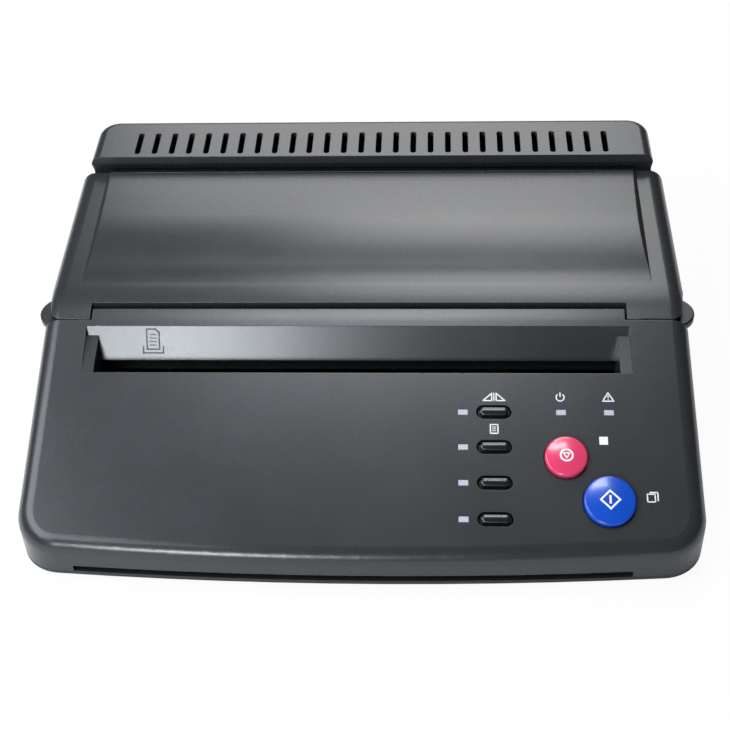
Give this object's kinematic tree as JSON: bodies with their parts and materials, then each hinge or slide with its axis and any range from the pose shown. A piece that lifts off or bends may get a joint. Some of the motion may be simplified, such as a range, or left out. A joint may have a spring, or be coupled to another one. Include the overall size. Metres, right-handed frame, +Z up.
{
  "type": "thermal stencil copier",
  "caption": "Low desktop thermal stencil copier with a sloping control panel, a document slot, a hinged upper cover with side latch tabs and a raised vented rear rail.",
  "frame": {"origin": "on the table, under the middle of the machine's footprint", "axes": "+X to the user's right, +Y from the front edge towards the rear rail, +Z up"},
  "size_m": [0.277, 0.222, 0.0736],
  "materials": {
    "shell": "fine satin",
    "cover_shell": "satin",
    "black_shell": "fine grain",
    "black_part": "moulded",
    "black_gloss": "polished",
    "red_key": "polished",
    "blue_key": "polished",
    "lamp": "frosted",
    "foot_rubber": "matte",
    "roller_rubber": "ground",
    "zinc_plate": "zinc plated",
    "steel": "turned",
    "motor_case": "satin",
    "brass_pinion": "cut",
    "acetal": "moulded",
    "aluminium": "extruded",
    "ceramic": "glazed",
    "glass": "clear",
    "circuit_board": "solder mask"
  },
  "bodies": {
    "base": {"base_tray": "black_shell", "rubber_feet": "foot_rubber", "main_housing": "shell", "panel_board": "circuit_board", "panel_switches": "black_part", "vent_rail": "shell", "side_frame_left": "zinc_plate", "side_frame_right": "zinc_plate", "strikers": "steel", "tie_bars": "steel", "platen_bushes": "acetal", "feed_bushes": "acetal", "gear_studs": "steel", "stepper_motor": "motor_case", "image_sensor": "black_part", "sensor_glass": "glass", "front_guide": "black_part", "rear_guide": "black_part", "exit_chute": "black_part", "main_board": "circuit_board", "power_board": "circuit_board", "mode_lamps": "lamp", "status_lamps": "lamp", "mains_inlet": "black_part", "inlet_pins": "steel", "rocker_frame": "black_part"},
    "cover": {"top_cover": "cover_shell", "hinge_pin_left": "steel", "hinge_pin_right": "steel", "thermal_head": "aluminium", "head_element": "ceramic", "head_springs": "steel", "latch_spring": "steel"},
    "latch": {"latch_shaft": "steel", "latch_lever_left": "black_part", "latch_lever_right": "black_part"},
    "platen": {"platen_roller": "roller_rubber", "platen_shaft": "steel", "platen_gear": "acetal"},
    "feed": {"feed_roller": "roller_rubber", "feed_shaft": "steel", "feed_gear": "acetal"},
    "drive": {"drive_gear": "acetal"},
    "idler_rear": {"idler_gear_rear": "acetal"},
    "idler_middle": {"idler_gear_middle": "acetal"},
    "idler_front": {"idler_gear_front": "acetal"},
    "rotor": {"motor_shaft": "steel", "motor_pinion": "brass_pinion"},
    "key_1": {"mode_key_1": "black_gloss"},
    "key_2": {"mode_key_2": "black_gloss"},
    "key_3": {"mode_key_3": "black_gloss"},
    "key_4": {"mode_key_4": "black_gloss"},
    "stop": {"stop_key": "red_key"},
    "copy": {"copy_key": "blue_key"},
    "rocker": {"power_rocker": "black_gloss"}
  },
  "joints": [
    {"name": "cover_hinge", "type": "hinge", "parent": "base", "child": "cover", "pos_m": [-0.0028, 0.07, 0.0595], "axis": [-1, 0, 0], "range_deg": [0, 70]},
    {"name": "latch_pivot", "type": "hinge", "parent": "cover", "child": "latch", "pos_m": [-0.0028, 0.0008, 0.0526], "axis": [-1, 0, 0], "range_deg": [0, 12], "stiffness_Nm_per_rad": 0.05, "springref_deg": -17.19},
    {"name": "platen_spin", "type": "hinge", "parent": "base", "child": "platen", "pos_m": [0.1175, 0.014, 0.0433], "axis": [1, 0, 0], "continuous": true},
    {"name": "drive_spin", "type": "hinge", "parent": "base", "child": "drive", "pos_m": [0.1175, 0.02411, 0.02988], "axis": [1, 0, 0], "continuous": true},
    {"name": "motor_spin", "type": "hinge", "parent": "base", "child": "rotor", "pos_m": [0.1175, 0.04334, 0.02437], "axis": [1, 0, 0], "continuous": true},
    {"name": "idler_rear_spin", "type": "hinge", "parent": "base", "child": "idler_rear", "pos_m": [0.1175, 0.01757, 0.01705], "axis": [1, 0, 0], "continuous": true},
    {"name": "idler_middle_spin", "type": "hinge", "parent": "base", "child": "idler_middle", "pos_m": [0.1175, -0.00082, 0.01641], "axis": [1, 0, 0], "continuous": true},
    {"name": "idler_front_spin", "type": "hinge", "parent": "base", "child": "idler_front", "pos_m": [0.1175, -0.01861, 0.02362], "axis": [1, 0, 0], "continuous": true},
    {"name": "feed_spin", "type": "hinge", "parent": "base", "child": "feed", "pos_m": [0.1175, -0.041, 0.023], "axis": [1, 0, 0], "continuous": true},
    {"name": "mode_key_1_press", "type": "slide", "parent": "base", "child": "key_1", "axis": [0, 0.3665, -0.9304], "range_m": [0, 0.0006], "stiffness_N_per_m": 500, "springref_m": -0.0006},
    {"name": "mode_key_2_press", "type": "slide", "parent": "base", "child": "key_2", "axis": [0, 0.3665, -0.9304], "range_m": [0, 0.0006], "stiffness_N_per_m": 500, "springref_m": -0.0006},
    {"name": "mode_key_3_press", "type": "slide", "parent": "base", "child": "key_3", "axis": [0, 0.3665, -0.9304], "range_m": [0, 0.0006], "stiffness_N_per_m": 500, "springref_m": -0.0006},
    {"name": "mode_key_4_press", "type": "slide", "parent": "base", "child": "key_4", "axis": [0, 0.3665, -0.9304], "range_m": [0, 0.0006], "stiffness_N_per_m": 500, "springref_m": -0.0006},
    {"name": "stop_press", "type": "slide", "parent": "base", "child": "stop", "axis": [0, 0.3665, -0.9304], "range_m": [0, 0.0008], "stiffness_N_per_m": 500, "springref_m": -0.0006},
    {"name": "copy_press", "type": "slide", "parent": "base", "child": "copy", "axis": [0, 0.3665, -0.9304], "range_m": [0, 0.0008], "stiffness_N_per_m": 500, "springref_m": -0.0006},
    {"name": "rocker_tilt", "type": "hinge", "parent": "base", "child": "rocker", "pos_m": [0.058, 0.106, 0.024], "axis": [-1, 0, 0], "range_deg": [0, 16]}
  ],
  "couplings": [
    {"joint": "drive_spin", "follows": "platen_spin", "ratio": -2},
    {"joint": "motor_spin", "follows": "platen_spin", "ratio": 5.1429},
    {"joint": "idler_rear_spin", "follows": "platen_spin", "ratio": 1.2727},
    {"joint": "idler_middle_spin", "follows": "platen_spin", "ratio": -1.1667},
    {"joint": "idler_front_spin", "follows": "platen_spin", "ratio": 1.1667},
    {"joint": "feed_spin", "follows": "platen_spin", "ratio": -0.875}
  ]
}
